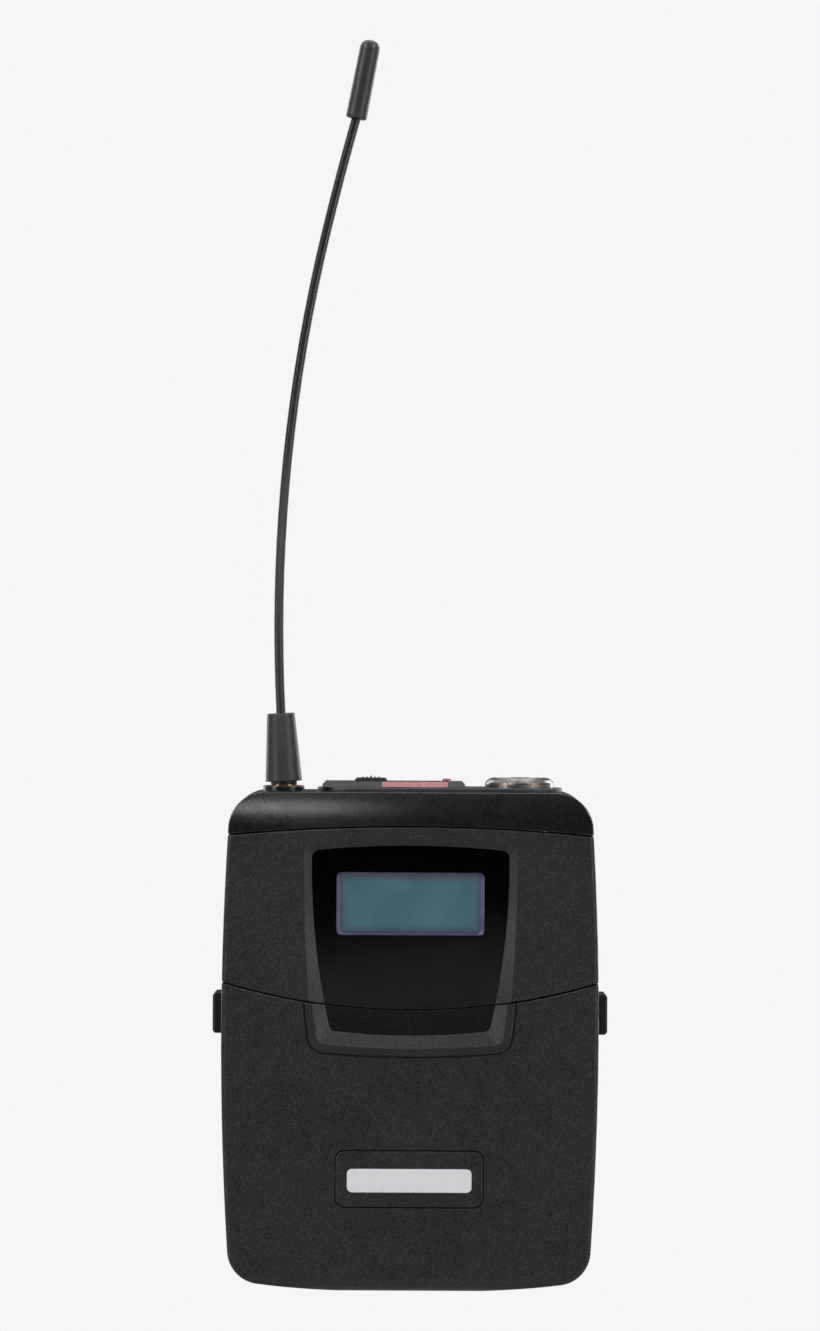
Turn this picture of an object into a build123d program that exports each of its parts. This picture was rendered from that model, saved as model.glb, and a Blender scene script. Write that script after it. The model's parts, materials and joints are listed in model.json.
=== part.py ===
from build123d import *
import os
from math import cos, radians, sin

# A belt-worn wireless microphone transmitter with a whip antenna.
#
# Millimetres, +Z up, the front faces -Y. The origin is on the middle of the rear face.
# A depth is a distance forward from the rear face, so the plane of depth d is y = -d.
# Front views are sketched in X and Z, and extruding them by a positive amount goes forward.

os.makedirs("parts", exist_ok=True)

# Case
DEPTH = 24.0
PARTING = 18.55  # depth where the front mouldings meet the rear housing
WALL = 1.8
PLATE = 22.2  # depth of the inside of the front plates
WAIST, WAIST_HALF = 1.0, 32.5  # height and half width of the widest place
TOP, TOP_HALF = 42.4, 31.03
FOOT, FOOT_SIDE, FOOT_HALF = -43.8, -41.6, 30.95
TOP_RADIUS, FOOT_RADIUS = 6.3, 5.9
EDGE_ROUND = 0.8
SEAM_BREAK = 0.2

# Seams across the case: heights at the sides and on the centre line
REACH = 33.0
CAP_SEAM = (34.95, 36.6)
DOOR_SEAM = (9.9, 5.0)
ABOVE, BELOW = (60.0, 61.0), (-61.0, -60.0)
GAP = 0.25

# Display window: half width at the top, at mid height and at the bottom, with their heights
GLASS = (17.0, 32.4, 33.3, 16.0, 14.0, 13.7, 1.4, 0.6)
COVER_BEVEL = (18.3, 33.8, 34.7, 17.9, 14.0, 16.8, -0.7, -1.7)
DOOR_BEVEL = (18.3, 33.8, 34.7, 17.6, 14.0, 15.9, -0.8, -1.6)
RECESS_FLOOR = 23.0
RIM_WIDTH, RIM_RISE, RIM_GROOVE = 1.25, 0.35, 0.3
LCD_Z, LCD_SIZE = 23.2, (25.5, 10.8)

# Door hinge, and the opening latches
HINGE_Y, HINGE_Z, HINGE_ROUND = -21.4, -40.9, 2.6
PIN_RADIUS, CHEEK_RADIUS = 0.6, 1.4
CHEEK_INNER, CHEEK_OUTER, PIN_HALF = 20.0, 22.5, 22.4
LATCH_Z, LATCH_TALL, LATCH_TIP = 3.75, 6.9, 34.3
LATCH_DEPTHS = (6.2, 15.4)

# Batteries
CELL_RADIUS, CELL_LENGTH, CELL_X, CELL_DEPTH, CELL_FOOT = 7.1, 49.0, 7.6, 11.0, -37.0
NUB_RADIUS, NUB_TALL = 2.7, 1.3
BAY_FOOT, BAY_TOP = -38.9, 13.9

# Things on the roof
ROOF_Y = -12.0
ANTENNA_X, MIC_X = -22.2, 18.9
PLATE_TOP, PLATFORM_TOP = 43.1, 44.1
SWITCH_X = -7.0
STRIP_LEFT, STRIP_RIGHT = -5.0, 6.4
LED_X = 6.2
MIC_BORE, MIC_RIM = 4.0, 44.8

# Whip antenna: two arcs in the plane y = ROOF_Y
COLLAR_TOP, BOOT_FOOT, BOOT_TOP, BOOT_LEAN = 43.3, 44.0, 55.9, 2.8
WHIP_RADIUS, WHIP_HEADING = 0.82, 3.12
WHIP_ARCS = ((294.6, 16.43), (521.0, 2.25))  # radius and turn of each
TIP_RADII, TIP_LENGTH, TIP_LEAN = (1.84, 1.74), 13.9, 10.8

# Belt clip
CLIP_PIN_Y, CLIP_PIN_Z, CLIP_PIN_RADIUS = 4.2, 26.0, 1.0
CLIP_HALF, CLIP_STEEL = 7.5, 1.2
CLIP_SCREWS, CLIP_SCREW_RADIUS = [(-4.5, 17.0), (4.5, 17.0)], 1.08

SCREW_SPOTS = [(-27.2, 30.0), (27.2, 30.0), (-27.2, 17.5), (27.2, 17.5)]
BUTTON_SPOTS = {"up": (21.4, -4.0), "down": (21.4, -13.0), "set": (21.4, -22.0)}
BUTTON_RADIUS = 2.2


def depth_plane(depth):
    """The front-view plane at a depth."""
    return Plane.XZ.offset(depth)


def case_outline(inset=0.0):
    """Front view of the case: bowed sides, bowed foot and four round corners."""
    top, top_half = TOP - inset, TOP_HALF - inset
    waist_half = WAIST_HALF - inset
    foot, foot_side, foot_half = FOOT + inset, FOOT_SIDE + inset, FOOT_HALF - inset
    with BuildSketch() as outline:
        with BuildLine():
            Line((-top_half, top), (top_half, top))
            ThreePointArc((top_half, top), (waist_half, WAIST), (foot_half, foot_side))
            ThreePointArc((foot_half, foot_side), (0, foot), (-foot_half, foot_side))
            ThreePointArc((-foot_half, foot_side), (-waist_half, WAIST), (-top_half, top))
        make_face()
        fillet(outline.vertices().group_by(Axis.Y)[-1], TOP_RADIUS - inset)
        fillet(outline.vertices().group_by(Axis.Y)[0], FOOT_RADIUS - inset)
    return outline.sketch


def band(low, high, low_shift=0.0, high_shift=0.0):
    """The strip across the case between two arcs, each moved up by its shift."""
    low_side, low_middle = low[0] + low_shift, low[1] + low_shift
    high_side, high_middle = high[0] + high_shift, high[1] + high_shift
    with BuildSketch() as strip:
        with BuildLine():
            ThreePointArc((-REACH, low_side), (0, low_middle), (REACH, low_side))
            Line((REACH, low_side), (REACH, high_side))
            ThreePointArc((REACH, high_side), (0, high_middle), (-REACH, high_side))
            Line((-REACH, high_side), (-REACH, low_side))
        make_face()
    return strip.sketch


def window_outline(sizes, grow=0.0, top_radius=1.5, foot_radius=1.0):
    """The window's tapering outline, with an arched top, bowed sides and a bowed foot."""
    top_half, top_side, top_middle, mid_half, mid, foot_half, foot_side, foot_middle = sizes
    top_half, mid_half, foot_half = top_half + grow, mid_half + grow, foot_half + grow
    top_side, top_middle = top_side + grow, top_middle + grow
    foot_side, foot_middle = foot_side - grow, foot_middle - grow
    with BuildSketch() as outline:
        with BuildLine():
            ThreePointArc((-top_half, top_side), (0, top_middle), (top_half, top_side))
            ThreePointArc((top_half, top_side), (mid_half, mid), (foot_half, foot_side))
            ThreePointArc((foot_half, foot_side), (0, foot_middle), (-foot_half, foot_side))
            ThreePointArc((-foot_half, foot_side), (-mid_half, mid), (-top_half, top_side))
        make_face()
        fillet(outline.vertices().group_by(Axis.Y)[-1], top_radius + grow)
        fillet(outline.vertices().group_by(Axis.Y)[0], foot_radius + grow)
    return outline.sketch


def add_x_cylinder(radius, y, z, start, end, mode=Mode.ADD):
    """A cylinder along X from start to end in the active part."""
    with BuildSketch(Plane.YZ.offset(start)) as section:
        with Locations((y, z)):
            Circle(radius)
    extrude(section.sketch, amount=end - start, mode=mode)


def add_box(low, high, mode=Mode.ADD):
    """A block between two corners in the active part."""
    with Locations([tuple((a + b) / 2 for a, b in zip(low, high))]):
        Box(*(b - a for a, b in zip(low, high)), mode=mode)


def add_disc(radius, x, z, depth, thick, mode=Mode.ADD):
    """A disc that faces forward, from a depth forward by its thickness."""
    with BuildSketch(depth_plane(depth)) as section:
        with Locations((x, z)):
            Circle(radius)
    extrude(section.sketch, amount=thick, mode=mode)


def add_post(radius, x, y, foot, top, mode=Mode.ADD):
    """An upright cylinder between two heights."""
    with BuildSketch(Plane.XY.offset(foot)) as section:
        with Locations((x, y)):
            Circle(radius)
    extrude(section.sketch, amount=top - foot, mode=mode)


# ---- Rear housing: the open-fronted back shell, with the hinge cheeks ----
HEAD_RADIUS, HEAD_TALL, SHANK_RADIUS, BOSS_RADIUS, PAD_DEPTH = 1.9, 1.6, 1.0, 2.3, 3.0
LATCH_WINDOW = 0.2
with BuildPart() as rear_housing:
    with BuildSketch(depth_plane(0)):
        add(case_outline())
        add(band(BELOW, CAP_SEAM, high_shift=-GAP / 2), mode=Mode.INTERSECT)
    extrude(amount=PARTING)
    chamfer(rear_housing.faces().sort_by(Axis.Y)[0].edges(), SEAM_BREAK)
    rear_edges = rear_housing.faces().sort_by(Axis.Y)[-1].edges().sort_by(Axis.Z)[:-1]
    fillet(rear_edges, 2.0)
    with BuildSketch(depth_plane(WALL)):
        add(case_outline(WALL))
    extrude(amount=PARTING - WALL, mode=Mode.SUBTRACT)
    for x, z in SCREW_SPOTS:
        add_disc(3.2, x, z, WALL - 0.1, PAD_DEPTH - WALL + 0.1)
    with BuildSketch(depth_plane(0)):
        add(case_outline())
        add(band(BELOW, CAP_SEAM, high_shift=-GAP / 2), mode=Mode.INTERSECT)
    extrude(amount=PARTING, mode=Mode.INTERSECT)
    for x, z in SCREW_SPOTS:
        add_disc(HEAD_RADIUS + 0.1, x, z, 0, HEAD_TALL + 0.1, mode=Mode.SUBTRACT)
        add_disc(SHANK_RADIUS + 0.1, x, z, 0, PAD_DEPTH, mode=Mode.SUBTRACT)
    for x, z in CLIP_SCREWS:
        add_disc(CLIP_SCREW_RADIUS + 0.02, x, z, 0, WALL, mode=Mode.SUBTRACT)
    for side in (-1, 1):
        low_x, high_x = sorted((side * CHEEK_INNER, side * CHEEK_OUTER))
        add_x_cylinder(CHEEK_RADIUS, HINGE_Y, HINGE_Z, low_x, high_x)
        add_box((low_x, HINGE_Y, HINGE_Z - 0.6), (high_x, -14.0, HINGE_Z + CHEEK_RADIUS))
    add_x_cylinder(PIN_RADIUS, HINGE_Y, HINGE_Z, -PIN_HALF, PIN_HALF, mode=Mode.SUBTRACT)
    half_tall = LATCH_TALL / 2 + LATCH_WINDOW
    front, back = LATCH_DEPTHS[1] + LATCH_WINDOW, LATCH_DEPTHS[0] - LATCH_WINDOW
    add_box(
        (-40, -front, LATCH_Z - half_tall),
        (40, -back, LATCH_Z + half_tall),
        mode=Mode.SUBTRACT,
    )
rear_housing.part.label = "rear_housing"
export_step(rear_housing.part, "parts/rear_housing.step")

# ---- Top cap: a textured moulding whose front leans back to the roof ----
LEAN_FOOT, LEAN_RADIUS, LEAN_START, LEAN_TURN = 35.0, 15.8, radians(2.0), 25.0
with BuildPart() as top_cap:
    with BuildSketch(depth_plane(0)):
        add(case_outline())
        add(band(CAP_SEAM, ABOVE, low_shift=GAP / 2), mode=Mode.INTERSECT)
    extrude(amount=DEPTH)
    with BuildSketch(Plane.YZ):
        with BuildLine():
            lean_arc = JernArc(
                start=(-DEPTH - 0.03, LEAN_FOOT),
                tangent=(sin(LEAN_START), cos(LEAN_START)),
                radius=LEAN_RADIUS,
                arc_size=-LEAN_TURN,
            )
            lean_top = lean_arc @ 1 + (lean_arc % 1) * 3
            Polyline(lean_arc @ 1, lean_top, (-40, lean_top.Y), (-40, LEAN_FOOT), lean_arc @ 0)
        make_face()
    extrude(amount=40, both=True, mode=Mode.SUBTRACT)
    roof = top_cap.faces().filter_by(Axis.Z).sort_by(Axis.Z)[-1]
    fillet(roof.edges().filter_by(Axis.X).sort_by(Axis.Y)[0], 0.3)
    rear_edges = top_cap.faces().sort_by(Axis.Y)[-1].edges().sort_by(SortBy.LENGTH)[:-1]
    fillet(rear_edges, 2.0)
    with BuildSketch(depth_plane(WALL)):
        add(case_outline(WALL))
    extrude(amount=20.6 - WALL, mode=Mode.SUBTRACT)
    add_post(4.6, ANTENNA_X, ROOF_Y, 37.4, TOP - 1.0)
    add_post(7.0, MIC_X, ROOF_Y, 39.6, TOP - 1.0)
    add_post(2.9, ANTENNA_X, ROOF_Y, 30, 50, mode=Mode.SUBTRACT)
    add_post(5.0, MIC_X, ROOF_Y, 30, 50, mode=Mode.SUBTRACT)
    add_box((-12.5, ROOF_Y - 2.6, 38), (-2.5, ROOF_Y + 2.6, 50), mode=Mode.SUBTRACT)
    add_post(1.05, LED_X, ROOF_Y, 38, 50, mode=Mode.SUBTRACT)
top_cap.part.label = "top_cap"
export_step(top_cap.part, "parts/top_cap.step")

# ---- Front cover: the fixed upper front, with the window opening and screw bosses ----
with BuildPart() as front_cover:
    with BuildSketch(depth_plane(PARTING)):
        add(case_outline())
        add(band(DOOR_SEAM, CAP_SEAM, GAP / 2, -GAP / 2), mode=Mode.INTERSECT)
    extrude(amount=DEPTH - PARTING)
    face_edges = front_cover.faces().sort_by(Axis.Y)[0].edges().sort_by(Axis.Z)
    fillet(face_edges[1:-1], EDGE_ROUND)
    seam_edges = front_cover.faces().sort_by(Axis.Y)[0].edges().sort_by(Axis.Z)
    fillet(seam_edges[-1], 0.3)
    fillet(seam_edges[0], 0.15)
    with BuildSketch(depth_plane(PARTING)):
        add(case_outline(WALL))
        add(band(DOOR_SEAM, CAP_SEAM, 1.4, -1.4), mode=Mode.INTERSECT)
    extrude(amount=PLATE - PARTING, mode=Mode.SUBTRACT)
    with BuildSketch(depth_plane(DEPTH)):
        add(window_outline(COVER_BEVEL, top_radius=2.6, foot_radius=2.6))
    with BuildSketch(depth_plane(RECESS_FLOOR)):
        add(window_outline(GLASS))
    loft(mode=Mode.SUBTRACT)
    with BuildSketch(depth_plane(PLATE - 0.1)):
        add(window_outline(GLASS))
    extrude(amount=RECESS_FLOOR - PLATE + 0.1, mode=Mode.SUBTRACT)
    with BuildSketch(depth_plane(21.0)):
        add(window_outline(GLASS, grow=1.1))
    extrude(amount=PLATE - 21.0, mode=Mode.SUBTRACT)
    for x, z in SCREW_SPOTS:
        add_disc(BOSS_RADIUS, x, z, PAD_DEPTH, PLATE - PAD_DEPTH)
        add_disc(SHANK_RADIUS, x, z, PAD_DEPTH, 8.0, mode=Mode.SUBTRACT)
front_cover.part.label = "front_cover"
export_step(front_cover.part, "parts/front_cover.step")

# ---- Display window, its black mask, and the display behind it ----
with BuildPart() as display_window:
    with BuildSketch(depth_plane(PLATE)):
        add(window_outline(GLASS, grow=-0.04))
        add(band(DOOR_SEAM, ABOVE, low_shift=GAP / 2), mode=Mode.INTERSECT)
    extrude(amount=RECESS_FLOOR - PLATE)
    with BuildSketch(depth_plane(PLATE - 0.7)):
        add(window_outline(GLASS, grow=1.0))
        add(band(DOOR_SEAM, ABOVE, low_shift=GAP / 2), mode=Mode.INTERSECT)
    extrude(amount=0.7)
display_window.part.label = "display_window"
export_step(display_window.part, "parts/display_window.step")

with BuildPart() as window_mask:
    with BuildSketch(depth_plane(PLATE - 0.85)):
        add(window_outline(GLASS, grow=1.0))
        add(band(DOOR_SEAM, ABOVE, low_shift=GAP / 2), mode=Mode.INTERSECT)
        with Locations((0, LCD_Z)):
            RectangleRounded(*LCD_SIZE, 0.9, mode=Mode.SUBTRACT)
    extrude(amount=0.15)
window_mask.part.label = "window_mask"
export_step(window_mask.part, "parts/window_mask.step")

LCD_BACK, LCD_FRONT = 19.5, 20.8
BOARD_BACK, BOARD_FRONT = 12.8, 14.0
with BuildPart() as lcd_frame:
    with BuildSketch(depth_plane(17.0)):
        with Locations((0, LCD_Z)):
            RectangleRounded(31.6, 17.2, 0.8)
    extrude(amount=20.3 - 17.0)
    with BuildSketch(depth_plane(LCD_BACK)):
        with Locations((0, LCD_Z)):
            Rectangle(29.1, 14.5)
    extrude(amount=2.0, mode=Mode.SUBTRACT)
    with BuildSketch(depth_plane(BOARD_FRONT)):
        with Locations((0, LCD_Z)):
            with GridLocations(28.0, 13.6, 2, 2):
                Rectangle(2.0, 2.0)
    extrude(amount=17.0 - BOARD_FRONT)
lcd_frame.part.label = "lcd_frame"
export_step(lcd_frame.part, "parts/lcd_frame.step")

with BuildPart() as lcd_panel:
    with BuildSketch(depth_plane(LCD_BACK)):
        with Locations((0, LCD_Z)):
            Rectangle(29.0, 14.4)
    extrude(amount=LCD_FRONT - LCD_BACK)
    chamfer(lcd_panel.faces().sort_by(Axis.Y)[0].edges(), 0.2)
lcd_panel.part.label = "lcd_panel"
export_step(lcd_panel.part, "parts/lcd_panel.step")

# ---- Circuit board, its components and the radio shield ----
with BuildPart() as main_board:
    add_box((-24.6, -BOARD_FRONT, 15.6), (24.6, -BOARD_BACK, 36.4))
    chamfer(main_board.edges().filter_by(Axis.Y), 1.0)
    add_box((MIC_X - 6.4, -20, 31.2), (30, 0, 50), mode=Mode.SUBTRACT)
main_board.part.label = "main_board"
export_step(main_board.part, "parts/main_board.step")

# Components as x, z, side and height
CHIPS = [
    (-20.5, 30.5, 5.0, 1.2),
    (-20.5, 20.0, 4.0, 1.6),
    (20.6, 27.6, 5.0, 1.4),
    (20.6, 20.0, 4.4, 1.1),
]
with BuildPart() as board_components:
    for x, z, size, tall in CHIPS:
        half = size / 2
        add_box((x - half, -BOARD_FRONT - tall, z - half), (x + half, -BOARD_FRONT, z + half))
board_components.part.label = "board_components"
export_step(board_components.part, "parts/board_components.step")

with BuildPart() as rf_shield:
    add_box((-20.0, -BOARD_BACK, 17.5), (6.0, -BOARD_BACK + 3.2, 34.5))
    fillet(rf_shield.edges().filter_by(Axis.Y), 1.0)
    front_face = rf_shield.faces().sort_by(Axis.Y)[0]
    offset(amount=-0.4, openings=front_face)
rf_shield.part.label = "rf_shield"
export_step(rf_shield.part, "parts/rf_shield.step")

# ---- Battery tray: two open troughs, with a deck on each side ----
TRAY_HALF, DECK_HALF = 16.3, 25.6
with BuildPart() as battery_tray:
    add_box((-TRAY_HALF, -15.4, BAY_FOOT - 1.2), (TRAY_HALF, -2.9, BAY_TOP + 1.2))
    for side in (-1, 1):
        low_x, high_x = sorted((side * (TRAY_HALF - 0.1), side * DECK_HALF))
        add_box((low_x, -15.4, -38.0), (high_x, -14.2, 4.4))
    for side in (-1, 1):
        with BuildSketch(Plane.XY.offset(BAY_FOOT)):
            with Locations((side * CELL_X, -CELL_DEPTH)):
                Circle(CELL_RADIUS + 0.2)
            with Locations((side * CELL_X, -CELL_DEPTH - 5)):
                Rectangle(2 * CELL_RADIUS + 0.4, 10)
        extrude(amount=BAY_TOP - BAY_FOOT, mode=Mode.SUBTRACT)
    for x, z in BUTTON_SPOTS.values():
        add_disc(BUTTON_RADIUS + 0.15, x, z, 10, 10, mode=Mode.SUBTRACT)
battery_tray.part.label = "battery_tray"
export_step(battery_tray.part, "parts/battery_tray.step")


def make_cell(x, nub_up):
    """One AA cell standing on end, with its positive nub at the top or at the foot."""
    top = CELL_FOOT + CELL_LENGTH
    with BuildPart() as cell:
        add_post(CELL_RADIUS, x, -CELL_DEPTH, CELL_FOOT, top)
        fillet(cell.edges().filter_by(GeomType.CIRCLE), 0.5)
        if nub_up:
            add_post(NUB_RADIUS, x, -CELL_DEPTH, top - 0.2, top + NUB_TALL)
        else:
            add_post(NUB_RADIUS, x, -CELL_DEPTH, CELL_FOOT - NUB_TALL, CELL_FOOT + 0.2)
    return cell


aa_cell_left = make_cell(-CELL_X, nub_up=True)
aa_cell_left.part.label = "aa_cell_left"
export_step(aa_cell_left.part, "parts/aa_cell_left.step")

aa_cell_right = make_cell(CELL_X, nub_up=False)
aa_cell_right.part.label = "aa_cell_right"
export_step(aa_cell_right.part, "parts/aa_cell_right.step")


def spring_coil(radius, pitch, height, wire, foot, axis=(0, 0, 1)):
    """A coil of round wire that starts at its foot and winds along an axis."""
    with BuildPart() as coil:
        with BuildLine():
            path = Helix(pitch=pitch, height=height, radius=radius, center=foot, direction=axis)
        with BuildSketch(Plane(path @ 0, z_dir=path % 0)):
            Circle(wire)
        sweep(is_frenet=True)
    return coil.part


CONTACT_THICK = 0.4
with BuildPart() as contact_plates:
    for x in (-CELL_X, CELL_X):
        add_box((x - 4.5, -14.5, BAY_TOP - CONTACT_THICK), (x + 4.5, -7.5, BAY_TOP))
        add_box((x - 4.5, -14.5, BAY_FOOT), (x + 4.5, -7.5, BAY_FOOT + CONTACT_THICK))
contact_plates.part.label = "contact_plates"
export_step(contact_plates.part, "parts/contact_plates.step")

COIL_WIRE = 0.25
with BuildPart() as contact_springs:
    add(spring_coil(3.0, 0.6, 0.9, COIL_WIRE, (-CELL_X, -CELL_DEPTH, BAY_FOOT + CONTACT_THICK + 0.27)))
    add(spring_coil(3.0, 0.6, 0.9, COIL_WIRE, (CELL_X, -CELL_DEPTH, CELL_FOOT + CELL_LENGTH + 0.27)))
contact_springs.part.label = "contact_springs"
export_step(contact_springs.part, "parts/contact_springs.step")

# ---- Setting buttons on the right-hand deck, under the door ----
for name, (x, z) in BUTTON_SPOTS.items():
    with BuildPart() as button:
        add_disc(BUTTON_RADIUS + 0.7, x, z, 12.4, 1.2)
        add_disc(BUTTON_RADIUS, x, z, 13.6, 3.0)
        fillet(button.faces().sort_by(Axis.Y)[0].edges(), 0.4)
    button.part.label = f"{name}_button"
    export_step(button.part, f"parts/{name}_button.step")

with BuildPart() as button_board:
    add_box((17.6, -11.2, -27.0), (25.4, -10.2, -0.4))
    for x, z in BUTTON_SPOTS.values():
        add_disc(1.4, x, z, 11.1, 0.7)
        add_disc(1.0, x, z - 3.5, WALL, 10.2 - WALL)
button_board.part.label = "button_board"
export_step(button_board.part, "parts/button_board.step")

# ---- Battery door: the lower front, which swings down on its foot ----
DOOR_RIBS, DOOR_RIB_DEPTH = (-32.0, -20.0, -8.0), 20.8
with BuildPart() as battery_door:
    with BuildSketch(depth_plane(PARTING + 0.15)):
        add(case_outline())
        add(band(BELOW, DOOR_SEAM, high_shift=-GAP / 2), mode=Mode.INTERSECT)
    extrude(amount=DEPTH - PARTING - 0.15)
    face_edges = battery_door.faces().sort_by(Axis.Y)[0].edges().sort_by(Axis.Z)
    fillet(face_edges[:-1], EDGE_ROUND)
    seam_edge = battery_door.faces().sort_by(Axis.Y)[0].edges().sort_by(Axis.Z)[-1]
    fillet(seam_edge, 0.2)
    # Rim round the window's foot, with a fine groove outside it
    with BuildSketch(depth_plane(DEPTH - RIM_GROOVE)):
        add(window_outline(DOOR_BEVEL, grow=RIM_WIDTH + RIM_GROOVE, top_radius=2.6, foot_radius=1.6))
        add(band(BELOW, DOOR_SEAM, high_shift=-GAP / 2 - 0.05), mode=Mode.INTERSECT)
    extrude(amount=RIM_GROOVE + 0.1, mode=Mode.SUBTRACT)
    with BuildSketch(depth_plane(DEPTH - RIM_GROOVE - 0.1)):
        add(window_outline(DOOR_BEVEL, grow=RIM_WIDTH, top_radius=2.6, foot_radius=1.6))
        add(band(BELOW, DOOR_SEAM, high_shift=-GAP / 2 - 0.05), mode=Mode.INTERSECT)
    extrude(amount=RIM_RISE + RIM_GROOVE + 0.1)
    rim_edges = battery_door.faces().sort_by(Axis.Y)[0].edges()
    fillet(rim_edges, 0.2)
    # Inside of the door, above its solid foot
    with BuildSketch(depth_plane(PARTING)):
        add(case_outline(WALL))
        add(band(BELOW, DOOR_SEAM, high_shift=-1.4), mode=Mode.INTERSECT)
        with Locations((0, HINGE_Z + HINGE_ROUND - 50)):
            Rectangle(80, 100, mode=Mode.SUBTRACT)
    extrude(amount=PLATE - PARTING, mode=Mode.SUBTRACT)
    with BuildSketch(depth_plane(DEPTH + RIM_RISE)):
        add(window_outline(DOOR_BEVEL, top_radius=2.6, foot_radius=1.6))
    with BuildSketch(depth_plane(RECESS_FLOOR)):
        add(window_outline(GLASS))
    loft(mode=Mode.SUBTRACT)
    # Pocket for the inlay, and the name plate's recess
    with BuildSketch(depth_plane(RECESS_FLOOR - 0.3)):
        add(window_outline(GLASS))
    extrude(amount=0.4, mode=Mode.SUBTRACT)
    with BuildSketch(depth_plane(23.3)):
        with Locations((0, -24.0)):
            RectangleRounded(25.8, 10.1, 1.8)
    extrude(amount=1.0, mode=Mode.SUBTRACT)
    # Foot rounded about the hinge, so that it turns in its own outline
    with BuildSketch(Plane.YZ):
        with Locations((HINGE_Y, HINGE_Z - 10)):
            Rectangle(40, 20)
        with Locations((HINGE_Y, HINGE_Z)):
            Circle(HINGE_ROUND, mode=Mode.SUBTRACT)
    extrude(amount=40, both=True, mode=Mode.SUBTRACT)
    # Room for the hinge cheeks
    for side in (-1, 1):
        low_x, high_x = sorted((side * (CHEEK_INNER - 0.2), side * (CHEEK_OUTER + 0.2)))
        add_x_cylinder(CHEEK_RADIUS + 0.25, HINGE_Y, HINGE_Z, low_x, high_x, mode=Mode.SUBTRACT)
        add_box((low_x, HINGE_Y - 1.2, HINGE_Z - 5), (high_x, -15, HINGE_Z + 3.2), mode=Mode.SUBTRACT)
    add_x_cylinder(PIN_RADIUS + 0.05, HINGE_Y, HINGE_Z, -PIN_HALF - 0.2, PIN_HALF + 0.2, mode=Mode.SUBTRACT)
    # Stiffening ribs across the inside
    for z in DOOR_RIBS:
        add_box((-26.0, -PLATE - 0.1, z - 0.5), (26.0, -DOOR_RIB_DEPTH, z + 0.5))
    for x in (-15.4, 15.4):
        add_box((x - 0.5, -PLATE - 0.1, DOOR_RIBS[0]), (x + 0.5, -DOOR_RIB_DEPTH, DOOR_RIBS[-1]))
    # Catch ribs that the latches hold
    for side in (-1, 1):
        low_x, high_x = sorted((side * 30.3, side * 31.4))
        add_box((low_x, -20.6, LATCH_Z - 2.0), (high_x, -19.6, LATCH_Z + 2.0))
battery_door.part.label = "battery_door"
export_step(battery_door.part, "parts/battery_door.step")

with BuildPart() as window_inlay:
    with BuildSketch(depth_plane(RECESS_FLOOR - 0.3)):
        add(window_outline(GLASS, grow=-0.03))
        add(band(BELOW, DOOR_SEAM, high_shift=-GAP / 2), mode=Mode.INTERSECT)
    extrude(amount=0.3)
window_inlay.part.label = "window_inlay"
export_step(window_inlay.part, "parts/window_inlay.step")

with BuildPart() as name_plate:
    with BuildSketch(depth_plane(23.3)):
        with Locations((0, -24.05)):
            RectangleRounded(25.4, 9.6, 1.6)
    extrude(amount=0.68)
    fillet(name_plate.faces().sort_by(Axis.Y)[0].edges(), 0.2)
    with BuildSketch(depth_plane(23.8)):
        with Locations((0, -24.3)):
            RectangleRounded(21.5, 4.1, 0.9)
    extrude(amount=1.0, mode=Mode.SUBTRACT)
name_plate.part.label = "name_plate"
export_step(name_plate.part, "parts/name_plate.step")

with BuildPart() as label_strip:
    with BuildSketch(depth_plane(23.8)):
        with Locations((0, -24.3)):
            RectangleRounded(21.44, 4.04, 0.87)
    extrude(amount=0.18)
label_strip.part.label = "label_strip"
export_step(label_strip.part, "parts/label_strip.step")

with BuildPart() as door_hinge_pin:
    add_x_cylinder(PIN_RADIUS - 0.005, HINGE_Y, HINGE_Z, -PIN_HALF, PIN_HALF)
door_hinge_pin.part.label = "door_hinge_pin"
export_step(door_hinge_pin.part, "parts/door_hinge_pin.step")


GRIP_PITCH, GRIP_DEEP = 1.4, 0.35


def make_latch(side):
    """A finger pad through the side wall, its flange inside, and the hook that holds the door."""
    half_tall = LATCH_TALL / 2
    back, front = LATCH_DEPTHS
    with BuildPart() as latch:
        add_box((29.6, -front, LATCH_Z - half_tall), (LATCH_TIP, -back, LATCH_Z + half_tall))
        tip_edges = latch.faces().sort_by(Axis.X)[-1].edges()
        chamfer(tip_edges, 0.4)
        for row in (-2, -1, 0, 1, 2):
            y = row * GRIP_PITCH - (back + front) / 2
            add_box(
                (LATCH_TIP - GRIP_DEEP, y - 0.25, LATCH_Z - 5),
                (40, y + 0.25, LATCH_Z + 5),
                mode=Mode.SUBTRACT,
            )
        add_box((28.6, -front - 1.2, LATCH_Z - 4.4), (30.2, -back + 1.2, LATCH_Z + 4.4))
        add_box((28.6, -19.2, LATCH_Z - 1.6), (29.8, -front - 1.0, LATCH_Z + 1.6))
        add_box((28.6, -19.2, LATCH_Z - 1.6), (30.1, -18.7, LATCH_Z + 1.6))
        if side < 0:
            mirror(about=Plane.YZ, mode=Mode.REPLACE)
    return latch


latch_right = make_latch(1)
latch_right.part.label = "latch_right"
export_step(latch_right.part, "parts/latch_right.step")

latch_left = make_latch(-1)
latch_left.part.label = "latch_left"
export_step(latch_left.part, "parts/latch_left.step")

for label, x in (("latch_spring_left", -28.3), ("latch_spring_right", 26.1)):
    latch_spring = spring_coil(1.6, 0.8, 2.2, 0.2, (x, -10.8, LATCH_Z), (1, 0, 0))
    latch_spring.label = label
    export_step(latch_spring, f"parts/{label}.step")

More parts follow.
